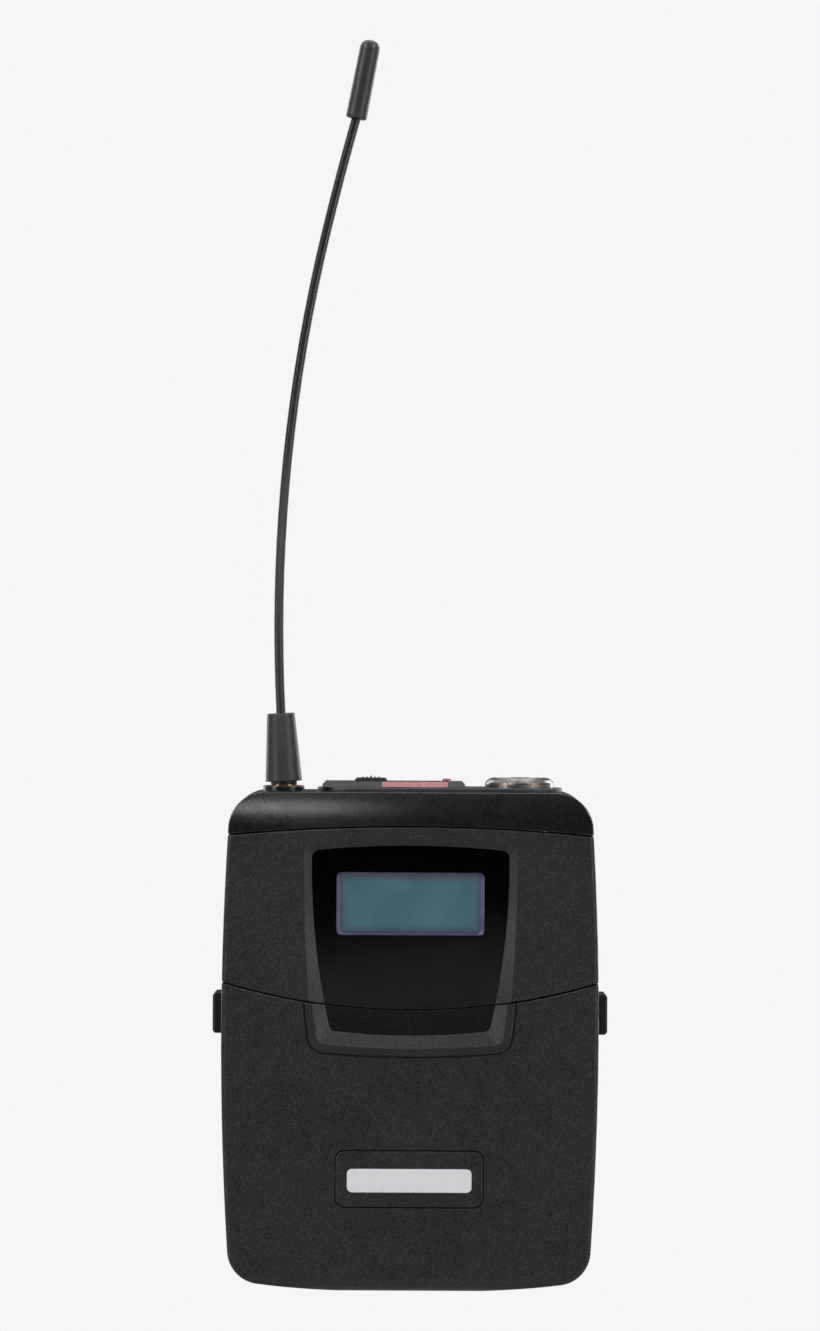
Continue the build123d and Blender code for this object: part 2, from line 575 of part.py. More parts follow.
with BuildPart() as spring_posts:
    for side in (-1, 1):
        low_x, high_x = sorted((side * 24.6, side * 25.8))
        add_box((low_x, -14.2, LATCH_Z - 3.0), (high_x, -WALL, LATCH_Z + 3.0))
spring_posts.part.label = "spring_posts"
export_step(spring_posts.part, "parts/spring_posts.step")

# ---- Roof: control plate, switch platform, switch, lamp ----
KNOB_SLOT = (-12.6, -3.6)
with BuildPart() as control_plate:
    with BuildSketch(Plane.XY.offset(TOP)):
        with Locations((5.0, ROOF_Y)):
            SlotOverall(42.6, 14.4)
        with Locations((MIC_X, ROOF_Y)):
            Circle(5.0, mode=Mode.SUBTRACT)
        with Locations((LED_X, ROOF_Y)):
            Circle(1.05, mode=Mode.SUBTRACT)
        with Locations((-7.5, ROOF_Y)):
            Rectangle(10.0, 5.2, mode=Mode.SUBTRACT)
    extrude(amount=PLATE_TOP - TOP)
    fillet(control_plate.faces().sort_by(Axis.Z)[-1].outer_wire().edges(), 0.25)
control_plate.part.label = "control_plate"
export_step(control_plate.part, "parts/control_plate.step")

PLATFORM_FRONT, PLATFORM_REAR, BEVEL = ROOF_Y - 5.6, ROOF_Y + 5.2, 0.9
with BuildPart() as switch_platform:
    add_box((-15.4, PLATFORM_FRONT, PLATE_TOP), (9.4, PLATFORM_REAR, PLATFORM_TOP))
    chamfer(switch_platform.faces().sort_by(Axis.Z)[-1].edges().sort_by(Axis.Y)[0], BEVEL)
    chamfer(switch_platform.edges().filter_by(Axis.Y).group_by(Axis.Z)[-1], 0.5)
    with BuildSketch(Plane.XY.offset(PLATE_TOP)):
        with Locations(((KNOB_SLOT[0] + KNOB_SLOT[1]) / 2, ROOF_Y)):
            Rectangle(KNOB_SLOT[1] - KNOB_SLOT[0], 3.2)
        with Locations((LED_X, ROOF_Y)):
            Circle(1.05)
    extrude(amount=5, mode=Mode.SUBTRACT)
    # Shallow channel in the bevel for the coloured strip
    with BuildSketch(Plane.YZ.offset(STRIP_LEFT)):
        with BuildLine():
            Polyline(
                (PLATFORM_FRONT - 1, PLATE_TOP + 0.1 - 1),
                (PLATFORM_FRONT + 0.25, PLATE_TOP + 0.1),
                (PLATFORM_FRONT + BEVEL + 0.25, PLATFORM_TOP),
                (PLATFORM_FRONT + BEVEL, PLATFORM_TOP + 1),
                (PLATFORM_FRONT - 1, PLATFORM_TOP + 1),
                close=True,
            )
        make_face()
    extrude(amount=STRIP_RIGHT - STRIP_LEFT, mode=Mode.SUBTRACT)
switch_platform.part.label = "switch_platform"
export_step(switch_platform.part, "parts/switch_platform.step")

with BuildPart() as accent_strip:
    with BuildSketch(Plane.YZ.offset(STRIP_LEFT)):
        with BuildLine():
            Polyline(
                (PLATFORM_FRONT, PLATE_TOP + 0.1),
                (PLATFORM_FRONT + 0.25, PLATE_TOP + 0.1),
                (PLATFORM_FRONT + BEVEL + 0.25, PLATFORM_TOP),
                (PLATFORM_FRONT + BEVEL, PLATFORM_TOP),
                close=True,
            )
        make_face()
    extrude(amount=STRIP_RIGHT - STRIP_LEFT)
accent_strip.part.label = "accent_strip"
export_step(accent_strip.part, "parts/accent_strip.step")

KNOB_HALF, KNOB_TOP = 2.8, 44.7
with BuildPart() as power_switch_knob:
    add_box((SWITCH_X - 1.2, ROOF_Y - 1.4, 41.6), (SWITCH_X + 1.2, ROOF_Y + 1.4, PLATFORM_TOP + 0.1))
    add_box(
        (SWITCH_X - KNOB_HALF, ROOF_Y - 2.0, PLATFORM_TOP + 0.08),
        (SWITCH_X + KNOB_HALF, ROOF_Y + 2.0, KNOB_TOP),
    )
    chamfer(power_switch_knob.edges().filter_by(Axis.Y).group_by(Axis.Z)[-1], 0.35)
    for offset_x in (-1.4, -0.7, 0.0, 0.7, 1.4):
        add_box((SWITCH_X + offset_x - 0.15, ROOF_Y - 1.8, KNOB_TOP - 0.1),
                (SWITCH_X + offset_x + 0.15, ROOF_Y + 1.8, KNOB_TOP + (0.3 if offset_x == 0 else 0.15)))
power_switch_knob.part.label = "power_switch_knob"
export_step(power_switch_knob.part, "parts/power_switch_knob.step")

with BuildPart() as power_switch_body:
    add_box((-12.3, ROOF_Y - 2.4, 37.6), (-2.7, ROOF_Y + 2.4, 42.3))
    add_box((-12.0, ROOF_Y - 1.6, 41.4), (-3.0, ROOF_Y + 1.6, 43.0), mode=Mode.SUBTRACT)
power_switch_body.part.label = "power_switch_body"
export_step(power_switch_body.part, "parts/power_switch_body.step")

with BuildPart() as status_led:
    add_post(1.0, LED_X, ROOF_Y, 40.4, PLATFORM_TOP + 0.5)
    fillet(status_led.faces().sort_by(Axis.Z)[-1].edges(), 0.7)
status_led.part.label = "status_led"
export_step(status_led.part, "parts/status_led.step")

# ---- Microphone socket: a threaded shell with its insert and four pins ----
with BuildPart() as mic_connector_shell:
    with BuildSketch(Plane.XZ) as shell_profile:
        with BuildLine():
            Polyline(
                (MIC_BORE, MIC_RIM - 0.25),
                (MIC_BORE + 0.25, MIC_RIM),
                (4.85, MIC_RIM),
                (5.6, MIC_RIM - 0.35),
                (5.95, MIC_RIM - 0.8),
                (6.0, MIC_RIM - 1.1),
                (6.0, PLATE_TOP),
                (4.95, PLATE_TOP),
                (4.95, 34.0),
                (4.35, 34.0),
                (4.35, 41.2),
                (4.45, 41.3),
                (4.45, 42.1),
                (MIC_BORE, 42.2),
                close=True,
            )
        make_face()
    revolve(axis=Axis.Z)
mic_connector_shell.part.locate(Location((MIC_X, ROOF_Y, 0)))
mic_connector_shell.part.label = "mic_connector_shell"
export_step(mic_connector_shell.part, "parts/mic_connector_shell.step")

PIN_RING, PIN_TIP, INSERT_TOP = 2.1, 40.6, 36.6
with BuildPart() as mic_connector_insert:
    add_post(4.33, MIC_X, ROOF_Y, 34.0, INSERT_TOP)
    with BuildSketch(Plane.XY.offset(33)):
        with Locations((MIC_X, ROOF_Y)):
            with PolarLocations(PIN_RING, 4, start_angle=45):
                Circle(0.42)
    extrude(amount=10, mode=Mode.SUBTRACT)
mic_connector_insert.part.label = "mic_connector_insert"
export_step(mic_connector_insert.part, "parts/mic_connector_insert.step")

with BuildPart() as mic_connector_pins:
    with BuildSketch(Plane.XY.offset(32.0)):
        with Locations((MIC_X, ROOF_Y)):
            with PolarLocations(PIN_RING, 4, start_angle=45):
                Circle(0.4)
    extrude(amount=PIN_TIP - 32.0)
    chamfer(mic_connector_pins.faces().group_by(Axis.Z)[-1].edges(), 0.12)
mic_connector_pins.part.label = "mic_connector_pins"
export_step(mic_connector_pins.part, "parts/mic_connector_pins.step")

with BuildPart() as mic_connector_nut:
    with BuildSketch(Plane.XY.offset(37.4)):
        with Locations((MIC_X, ROOF_Y)):
            RegularPolygon(6.6, 6)
            Circle(4.97, mode=Mode.SUBTRACT)
    extrude(amount=2.1)
mic_connector_nut.part.label = "mic_connector_nut"
export_step(mic_connector_nut.part, "parts/mic_connector_nut.step")

# ---- Antenna: socket, collar, stud, boot, whip and tip ----
with BuildPart() as antenna_socket:
    add_post(2.88, ANTENNA_X, ROOF_Y, 36.4, TOP - 0.1)
    add_post(1.62, ANTENNA_X, ROOF_Y, 37.4, TOP, mode=Mode.SUBTRACT)
antenna_socket.part.label = "antenna_socket"
export_step(antenna_socket.part, "parts/antenna_socket.step")

with BuildPart() as antenna_collar:
    add_post(3.6, ANTENNA_X, ROOF_Y, TOP, COLLAR_TOP)
    fillet(antenna_collar.faces().sort_by(Axis.Z)[-1].edges(), 0.25)
    add_post(2.5, ANTENNA_X, ROOF_Y, 40, 50, mode=Mode.SUBTRACT)
antenna_collar.part.label = "antenna_collar"
export_step(antenna_collar.part, "parts/antenna_collar.step")

with BuildPart() as antenna_stud:
    add_post(1.6, ANTENNA_X, ROOF_Y, 37.6, TOP + 0.2)
    add_post(2.4, ANTENNA_X, ROOF_Y, TOP + 0.1, COLLAR_TOP + 0.15)
antenna_stud.part.label = "antenna_stud"
export_step(antenna_stud.part, "parts/antenna_stud.step")

lean = radians(BOOT_LEAN)
boot_plane = Plane(
    origin=(ANTENNA_X, ROOF_Y, BOOT_FOOT + 0.02),
    x_dir=(cos(lean), 0, sin(lean)),
    z_dir=(-sin(lean), 0, cos(lean)),
)
whip_start = boot_plane.from_local_coords((0, 0, BOOT_TOP - BOOT_FOOT))
heading = radians(WHIP_HEADING)
with BuildPart() as antenna_whip:
    with BuildLine(Plane.XZ.offset(-ROOF_Y)) as whip_path:
        first = JernArc(
            start=(whip_start.X, whip_start.Z),
            tangent=(-sin(heading), cos(heading)),
            radius=WHIP_ARCS[0][0],
            arc_size=-WHIP_ARCS[0][1],
        )
        JernArc(start=first @ 1, tangent=first % 1, radius=WHIP_ARCS[1][0], arc_size=-WHIP_ARCS[1][1])
    with BuildSketch(Plane(whip_path.line @ 0, z_dir=whip_path.line % 0)):
        Circle(WHIP_RADIUS)
    sweep(path=whip_path.line)
antenna_whip.part.label = "antenna_whip"
export_step(antenna_whip.part, "parts/antenna_whip.step")
whip_end = whip_path.line @ 1

with BuildPart() as antenna_boot:
    with BuildSketch(boot_plane):
        Circle(3.2)
    with BuildSketch(boot_plane.offset(BOOT_TOP - BOOT_FOOT - 0.02)):
        Circle(2.4)
    loft()
    fillet(antenna_boot.edges().group_by(Axis.Z)[-1], 0.35)
    fillet(antenna_boot.edges().group_by(Axis.Z)[0], 0.15)
    add_post(2.3, ANTENNA_X, ROOF_Y, COLLAR_TOP + 0.17, BOOT_FOOT + 0.5)
antenna_boot.part.label = "antenna_boot"
export_step(antenna_boot.part, "parts/antenna_boot.step")

tip_lean = radians(TIP_LEAN)
tip_plane = Plane(
    origin=whip_end,
    x_dir=(cos(tip_lean), 0, -sin(tip_lean)),
    z_dir=(sin(tip_lean), 0, cos(tip_lean)),
)
with BuildPart() as antenna_tip:
    with BuildSketch(tip_plane.offset(0.1)):
        Circle(TIP_RADII[0])
    with BuildSketch(tip_plane.offset(0.1 + TIP_LENGTH)):
        Circle(TIP_RADII[1])
    loft()
    fillet(antenna_tip.edges().group_by(Axis.Z)[-1], TIP_RADII[1] - 0.25)
    fillet(antenna_tip.edges().group_by(Axis.Z)[0], 0.35)
antenna_tip.part.label = "antenna_tip"
export_step(antenna_tip.part, "parts/antenna_tip.step")

# ---- Belt clip: a steel tongue on a pin, closed by a torsion spring ----
with BuildPart() as clip_bracket:
    add_box((-9.2, 0, 13.0), (9.2, 1.0, 32.0))
    fillet(clip_bracket.edges().filter_by(Axis.Y), 1.5)
    for side in (-1, 1):
        low_x, high_x = sorted((side * 8.0, side * 9.2))
        add_x_cylinder(2.2, CLIP_PIN_Y, CLIP_PIN_Z, low_x, high_x)
        add_box((low_x, 0.5, CLIP_PIN_Z - 2.2), (high_x, CLIP_PIN_Y, CLIP_PIN_Z + 2.2))
    add_x_cylinder(CLIP_PIN_RADIUS, CLIP_PIN_Y, CLIP_PIN_Z, -9.2, 9.2, mode=Mode.SUBTRACT)
    for x, z in CLIP_SCREWS:
        add_disc(CLIP_SCREW_RADIUS + 0.02, x, z, 0, -1.0, mode=Mode.SUBTRACT)
clip_bracket.part.label = "clip_bracket"
export_step(clip_bracket.part, "parts/clip_bracket.step")

with BuildPart() as clip_screws:
    for x, z in CLIP_SCREWS:
        add_disc(CLIP_SCREW_RADIUS, x, z, WALL, -WALL - 1.0)
        add_disc(2.0, x, z, -1.0, -0.9)
    fillet(clip_screws.faces().group_by(Axis.Y)[-1].edges(), 0.35)
clip_screws.part.label = "clip_screws"
export_step(clip_screws.part, "parts/clip_screws.step")

with BuildPart() as belt_clip:
    with BuildSketch(Plane.YZ) as tongue:
        with BuildLine():
            FilletPolyline((8.6, 38.0), (7.0, 31.0), (7.0, -16.0), (2.4, -26.0), (4.6, -33.5), radius=4.0)
            offset(amount=CLIP_STEEL / 2)
        make_face()
    extrude(amount=CLIP_HALF, both=True)
    with BuildSketch(Plane.XZ) as tongue_front:
        with Locations((0, 2.0)):
            RectangleRounded(2 * CLIP_HALF, 73.4, 4.0)
    extrude(tongue_front.sketch, amount=-20, mode=Mode.INTERSECT)
    # A pressed channel that stiffens the tongue
    with BuildSketch(Plane.XZ.offset(-7.6)) as channel:
        with Locations((0, 2.0)):
            SlotOverall(30.0, 5.0, rotation=90)
    extrude(channel.sketch, amount=0.4, mode=Mode.SUBTRACT)
    for side in (-1, 1):
        low_x, high_x = sorted((side * 6.1, side * CLIP_HALF))
        add_x_cylinder(2.0, CLIP_PIN_Y, CLIP_PIN_Z, low_x, high_x)
        add_box((low_x, CLIP_PIN_Y, CLIP_PIN_Z - 2.0), (high_x, 7.0, CLIP_PIN_Z + 2.0))
    add_x_cylinder(CLIP_PIN_RADIUS + 0.05, CLIP_PIN_Y, CLIP_PIN_Z, -9.0, 9.0, mode=Mode.SUBTRACT)
belt_clip.part.label = "belt_clip"
export_step(belt_clip.part, "parts/belt_clip.step")

with BuildPart() as clip_pin:
    add_x_cylinder(CLIP_PIN_RADIUS - 0.005, CLIP_PIN_Y, CLIP_PIN_Z, -9.3, 9.3)
clip_pin.part.label = "clip_pin"
export_step(clip_pin.part, "parts/clip_pin.step")

clip_spring = spring_coil(1.5, 0.9, 7.2, 0.35, (-3.6, CLIP_PIN_Y, CLIP_PIN_Z), (1, 0, 0))
clip_spring.label = "clip_spring"
export_step(clip_spring, "parts/clip_spring.step")

# ---- Case screws from the rear, and a blank rating label ----
with BuildPart() as case_screws:
    for x, z in SCREW_SPOTS:
        add_disc(HEAD_RADIUS, x, z, 0.1, HEAD_TALL)
        add_disc(SHANK_RADIUS - 0.005, x, z, 0.5, 9.5)
        with BuildSketch(depth_plane(0)):
            with Locations((x, z)):
                Rectangle(2.4, 0.5)
                Rectangle(0.5, 2.4)
        extrude(amount=0.8, mode=Mode.SUBTRACT)
case_screws.part.label = "case_screws"
export_step(case_screws.part, "parts/case_screws.step")

with BuildPart() as rating_label:
    with BuildSketch(Plane.XZ):
        with Locations((0, -12.0)):
            RectangleRounded(34.0, 22.0, 1.5)
    extrude(amount=-0.12)
rating_label.part.label = "rating_label"
export_step(rating_label.part, "parts/rating_label.step")
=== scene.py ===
import bmesh
import bpy
import json
from math import cos, pi, radians, sin
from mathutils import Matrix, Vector


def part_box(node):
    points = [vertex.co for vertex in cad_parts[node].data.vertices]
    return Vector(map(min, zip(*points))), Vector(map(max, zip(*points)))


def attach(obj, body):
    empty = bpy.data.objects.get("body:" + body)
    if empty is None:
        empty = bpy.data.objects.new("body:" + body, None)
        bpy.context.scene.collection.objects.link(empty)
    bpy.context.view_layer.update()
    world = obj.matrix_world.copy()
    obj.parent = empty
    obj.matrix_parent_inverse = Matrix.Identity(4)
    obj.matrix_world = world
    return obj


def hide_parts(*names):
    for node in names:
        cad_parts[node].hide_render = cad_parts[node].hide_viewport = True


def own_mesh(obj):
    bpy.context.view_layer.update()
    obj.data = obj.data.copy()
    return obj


# A belt-worn wireless microphone transmitter with a whip antenna, dressed round its CAD frame.
# Metres, +Z up, the front faces -Y.

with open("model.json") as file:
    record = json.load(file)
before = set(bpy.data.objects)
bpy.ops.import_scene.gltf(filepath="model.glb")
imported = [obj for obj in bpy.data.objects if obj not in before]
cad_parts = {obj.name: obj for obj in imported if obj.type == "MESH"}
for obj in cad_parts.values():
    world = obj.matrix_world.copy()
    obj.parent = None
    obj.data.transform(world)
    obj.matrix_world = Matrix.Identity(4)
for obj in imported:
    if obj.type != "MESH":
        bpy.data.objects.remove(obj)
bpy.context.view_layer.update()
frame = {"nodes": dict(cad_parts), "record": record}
NODES = frame["nodes"]
MM = 0.001

# ---- Camera: level, square to the front, far enough away for a flat look ----
FRONT_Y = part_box("battery_door")[0].y
CAMERA_DISTANCE = 0.8
VIEW_HEIGHT = 0.2287  # what the frame's height covers at the case's front
SENSOR = 36.0
CAMERA_ROLL = radians(-0.29)
CAMERA_X, CAMERA_Z = -0.0003, 0.0643


def make_camera():
    """The camera at the studio view, and the scene's colour handling."""
    data = bpy.data.cameras.new("camera")
    data.sensor_width = SENSOR
    data.lens = SENSOR * CAMERA_DISTANCE / VIEW_HEIGHT
    data.clip_start, data.clip_end = 0.05, 50.0
    camera = bpy.data.objects.new("camera", data)
    camera.location = (CAMERA_X, FRONT_Y - CAMERA_DISTANCE, CAMERA_Z)
    camera.rotation_euler = (pi / 2, CAMERA_ROLL, 0)
    bpy.context.scene.collection.objects.link(camera)
    bpy.context.scene.camera = camera
    bpy.context.scene.view_settings.view_transform = "Standard"


# ---- Studio: pale surroundings, a dark room in front, soft boxes above and beside ----
BACKDROP = 0.9215
FLOOR_Z = -0.145
FLOOR_CORNERS = [(-8, 10), (8, 10), (8, -17.8), (-0.9, -0.97), (-8, -0.97)]
FLOOR_GLOW = 0.5
ROOM_DARK, ROOM_BRIGHT = 0.01, 0.12
ROOM_TURN = (-0.35, 0.75)  # how far back the room goes from dark to bright, as a direction's Y
ROOM_TINT = (0.97, 0.98, 1.0, 1)
CASE_MIDDLE = (0, -0.012, 0.02)
CAP_FRONT = (-0.0225, -0.0235, 0.04)


def add_node(tree, kind, **settings):
    """A shader node with its attributes set by name."""
    made = tree.nodes.new(kind)
    for key, value in settings.items():
        setattr(made, key, value)
    return made


def make_world():
    """A pale backdrop for the camera, and for the object a room dark in front and bright behind."""
    world = bpy.data.worlds.new("studio")
    bpy.context.scene.world = world
    world.use_nodes = True
    tree = world.node_tree
    tree.nodes.clear()
    output = add_node(tree, "ShaderNodeOutputWorld")
    paths = add_node(tree, "ShaderNodeLightPath")
    coords = add_node(tree, "ShaderNodeTexCoord")
    parts = add_node(tree, "ShaderNodeSeparateXYZ")
    ramp = add_node(tree, "ShaderNodeMapRange", interpolation_type="SMOOTHSTEP")
    ramp.inputs["From Min"].default_value = ROOM_TURN[0]
    ramp.inputs["From Max"].default_value = ROOM_TURN[1]
    ramp.inputs["To Min"].default_value = ROOM_DARK
    ramp.inputs["To Max"].default_value = ROOM_BRIGHT
    room = add_node(tree, "ShaderNodeBackground")
    room.inputs["Color"].default_value = ROOM_TINT
    plain = add_node(tree, "ShaderNodeBackground")
    plain.inputs["Color"].default_value = (BACKDROP, BACKDROP, BACKDROP, 1)
    mix = add_node(tree, "ShaderNodeMixShader")
    tree.links.new(coords.outputs["Generated"], parts.inputs[0])
    tree.links.new(parts.outputs["Y"], ramp.inputs["Value"])
    tree.links.new(ramp.outputs["Result"], room.inputs["Strength"])
    tree.links.new(paths.outputs["Is Camera Ray"], mix.inputs[0])
    tree.links.new(room.outputs[0], mix.inputs[1])
    tree.links.new(plain.outputs[0], mix.inputs[2])
    tree.links.new(mix.outputs[0], output.inputs[0])


def make_floor():
    """A pale glowing floor well below the object, whose front edge runs on the slant."""
    mesh = bpy.data.meshes.new("floor")
    corners = [(x, y, FLOOR_Z) for x, y in FLOOR_CORNERS]
    mesh.from_pydata(corners, [], [tuple(range(len(corners)))])
    floor = bpy.data.objects.new("floor", mesh)
    bpy.context.scene.collection.objects.link(floor)
    material = bpy.data.materials.new("floor")
    material.use_nodes = True
    tree = material.node_tree
    tree.nodes.clear()
    output = add_node(tree, "ShaderNodeOutputMaterial")
    paths = add_node(tree, "ShaderNodeLightPath")
    seen = add_node(tree, "ShaderNodeEmission")
    glow = add_node(tree, "ShaderNodeEmission")
    seen.inputs["Strength"].default_value = BACKDROP
    glow.inputs["Strength"].default_value = FLOOR_GLOW
    mix = add_node(tree, "ShaderNodeMixShader")
    tree.links.new(paths.outputs["Is Camera Ray"], mix.inputs[0])
    tree.links.new(glow.outputs[0], mix.inputs[1])
    tree.links.new(seen.outputs[0], mix.inputs[2])
    tree.links.new(mix.outputs[0], output.inputs[0])
    mesh.materials.append(material)


def add_softbox(name, place, target, width, height, power):
    """A rectangular soft light that faces a target."""
    data = bpy.data.lights.new(name, "AREA")
    data.shape = "RECTANGLE"
    data.size, data.size_y = width, height
    data.energy = power
    light = bpy.data.objects.new(name, data)
    light.location = place
    aim = Vector(target) - Vector(place)
    light.rotation_euler = aim.to_track_quat("-Z", "Y").to_euler()
    bpy.context.scene.collection.objects.link(light)


def make_lights():
    """Tall soft boxes at both sides, a bank above, a small close one for the cap, and two behind."""
    add_softbox("left", (-0.66, -0.46, -0.04), CASE_MIDDLE, 0.20, 0.7, 1.6)
    add_softbox("right", (0.64, -0.48, -0.04), CASE_MIDDLE, 0.20, 0.7, 1.7)
    add_softbox("upper_left", (-0.52, -0.33, 0.56), CASE_MIDDLE, 0.16, 0.16, 3.0)
    add_softbox("upper_right", (0.52, -0.33, 0.56), CASE_MIDDLE, 0.16, 0.16, 3.0)
    add_softbox("top_bank", (0.0, -0.26, 0.74), CASE_MIDDLE, 0.8, 0.24, 0.6)
    add_softbox("cap_light", (-0.0245, -0.087, 0.0885), CAP_FRONT, 0.018, 0.018, 0.0095)
    add_softbox("overhead", (0.0, 0.30, 0.80), CASE_MIDDLE, 1.1, 0.5, 4.0)
    add_softbox("rear_left", (0.65, 0.75, 0.30), CASE_MIDDLE, 0.4, 0.8, 4.0)
    add_softbox("rear_right", (-0.65, 0.75, 0.30), CASE_MIDDLE, 0.4, 0.8, 3.0)


# ---- Material building blocks ----
BEVEL_SAMPLES = 6
FLAT_LIKENESS, EDGE_LIKENESS = 0.995, 0.86  # how well rounded and true normals agree on a face, at an edge
MOULDED_EDGE, RUBBED_EDGE, TOOLED_EDGE = 0.12 * MM, 0.3 * MM, 0.06 * MM
CLOUD_SIZE = 14 * MM


def start_material(name):
    """An empty material with a Principled shader wired to its output."""
    material = bpy.data.materials.new(name)
    material.use_nodes = True
    tree = material.node_tree
    tree.nodes.clear()
    output = add_node(tree, "ShaderNodeOutputMaterial")
    shader = add_node(tree, "ShaderNodeBsdfPrincipled")
    tree.links.new(shader.outputs[0], output.inputs[0])
    return material, tree, shader


def object_axes(tree):
    """The place on the object, as outputs named X, Y and Z."""
    coords = add_node(tree, "ShaderNodeTexCoord")
    axes = add_node(tree, "ShaderNodeSeparateXYZ")
    tree.links.new(coords.outputs["Object"], axes.inputs[0])
    return axes.outputs


def add_noise(tree, size, detail=3.0, roughness=0.55, stretch=(1, 1, 1)):
    """Noise over the object's own space, whose features are about size metres across."""
    coords = add_node(tree, "ShaderNodeTexCoord")
    mapping = add_node(tree, "ShaderNodeMapping")
    mapping.inputs["Scale"].default_value = stretch
    noise = add_node(tree, "ShaderNodeTexNoise")
    noise.inputs["Scale"].default_value = 1.0 / size
    noise.inputs["Detail"].default_value = detail
    noise.inputs["Roughness"].default_value = roughness
    tree.links.new(coords.outputs["Object"], mapping.inputs[0])
    tree.links.new(mapping.outputs[0], noise.inputs["Vector"])
    return noise.outputs["Fac"]


def add_cells(tree, size):
    """Rounded grains about size metres across, bright in their middles."""
    coords = add_node(tree, "ShaderNodeTexCoord")
    cells = add_node(tree, "ShaderNodeTexVoronoi", feature="SMOOTH_F1")
    cells.inputs["Scale"].default_value = 1.0 / size
    cells.inputs["Smoothness"].default_value = 0.6
    tree.links.new(coords.outputs["Object"], cells.inputs["Vector"])
    flip = add_node(tree, "ShaderNodeMath", operation="SUBTRACT")
    flip.inputs[0].default_value = 1.0
    tree.links.new(cells.outputs["Distance"], flip.inputs[1])
    return flip.outputs[0]


def add_math(tree, operation, first, second=None):
    """A sum or the like of one or two values. The second may be a socket or a number."""
    made = add_node(tree, "ShaderNodeMath", operation=operation)
    tree.links.new(first, made.inputs[0])
    if isinstance(second, float):
        made.inputs[1].default_value = second
    elif second:
        tree.links.new(second, made.inputs[1])
    return made.outputs[0]


def combine(tree, first, second, share):
    """Two values mixed, with share of the second."""
    mix = add_node(tree, "ShaderNodeMix", data_type="FLOAT")
    mix.inputs[0].default_value = share
    tree.links.new(first, mix.inputs[2])
    tree.links.new(second, mix.inputs[3])
    return mix.outputs[0]


def remap(tree, value, low, high, to_low, to_high):
    """A value moved from one range to another, clamped."""
    span = add_node(tree, "ShaderNodeMapRange")
    for label, number in (("From Min", low), ("From Max", high), ("To Min", to_low), ("To Max", to_high)):
        span.inputs[label].default_value = number
    tree.links.new(value, span.inputs["Value"])
    return span.outputs["Result"]


def blend_colours(tree, factor, dark, light):
    """A colour between two, by a factor. Either may be a socket."""
    mix = add_node(tree, "ShaderNodeMix", data_type="RGBA")
    tree.links.new(factor, mix.inputs[0])
    for colour, socket in ((dark, mix.inputs[6]), (light, mix.inputs[7])):
        if isinstance(colour, tuple):
            socket.default_value = (*colour, 1)
        else:
            tree.links.new(colour, socket)
    return mix.outputs[2]


def edge_mask(tree, radius):
    """1 along sharp edges and 0 on flat faces, from rounded normals."""
    rounded = add_node(tree, "ShaderNodeBevel", samples=BEVEL_SAMPLES)
    rounded.inputs["Radius"].default_value = radius
    geometry = add_node(tree, "ShaderNodeNewGeometry")
    likeness = add_node(tree, "ShaderNodeVectorMath", operation="DOT_PRODUCT")
    tree.links.new(rounded.outputs[0], likeness.inputs[0])
    tree.links.new(geometry.outputs["Normal"], likeness.inputs[1])
    return remap(tree, likeness.outputs["Value"], FLAT_LIKENESS, EDGE_LIKENESS, 0, 1)


def add_relief(tree, shader, height, depth, rounding=None):
    """Bump from a height, on top of rounded edges where a radius is given."""
    bump = add_node(tree, "ShaderNodeBump")
    bump.inputs["Strength"].default_value = 1.0
    bump.inputs["Distance"].default_value = depth
    tree.links.new(height, bump.inputs["Height"])
    if rounding:
        rounded = add_node(tree, "ShaderNodeBevel", samples=BEVEL_SAMPLES)
        rounded.inputs["Radius"].default_value = rounding
        tree.links.new(rounded.outputs[0], bump.inputs["Normal"])
    tree.links.new(bump.outputs[0], shader.inputs["Normal"])


def moulded(name, dark, light, rough, grain, depth, worn=None, specular=0.5, cells=0.5, cloud=0.2):
    """Spark-textured moulded plastic: grains, faint clouding, polish marks and rubbed edges."""
    material, tree, shader = start_material(name)
    fine = add_noise(tree, grain, detail=2.0, roughness=0.65)
    relief = combine(tree, fine, add_cells(tree, grain * 1.3), cells)
    add_relief(tree, shader, relief, depth, rounding=MOULDED_EDGE)
    clouds = add_noise(tree, CLOUD_SIZE, detail=4.0)
    specks = remap(tree, fine, 0.38, 0.64, 0, 1)
    shade = combine(tree, specks, remap(tree, clouds, 0.3, 0.7, 0, 1), cloud)
    colour = blend_colours(tree, shade, dark, light)
    if worn:
        patches = remap(tree, add_noise(tree, 2.5 * MM), 0.4, 0.65, 0.15, 0.8)
        rubbed = add_math(tree, "MULTIPLY", edge_mask(tree, RUBBED_EDGE), patches)
        colour = blend_colours(tree, rubbed, colour, worn)
    tree.links.new(colour, shader.inputs["Base Color"])
    polish = combine(tree, clouds, add_noise(tree, 3 * MM, detail=5.0), 0.5)
    tree.links.new(remap(tree, polish, 0.3, 0.7, rough - 0.05, rough + 0.05), shader.inputs["Roughness"])
    shader.inputs["Specular IOR Level"].default_value = specular
    return material


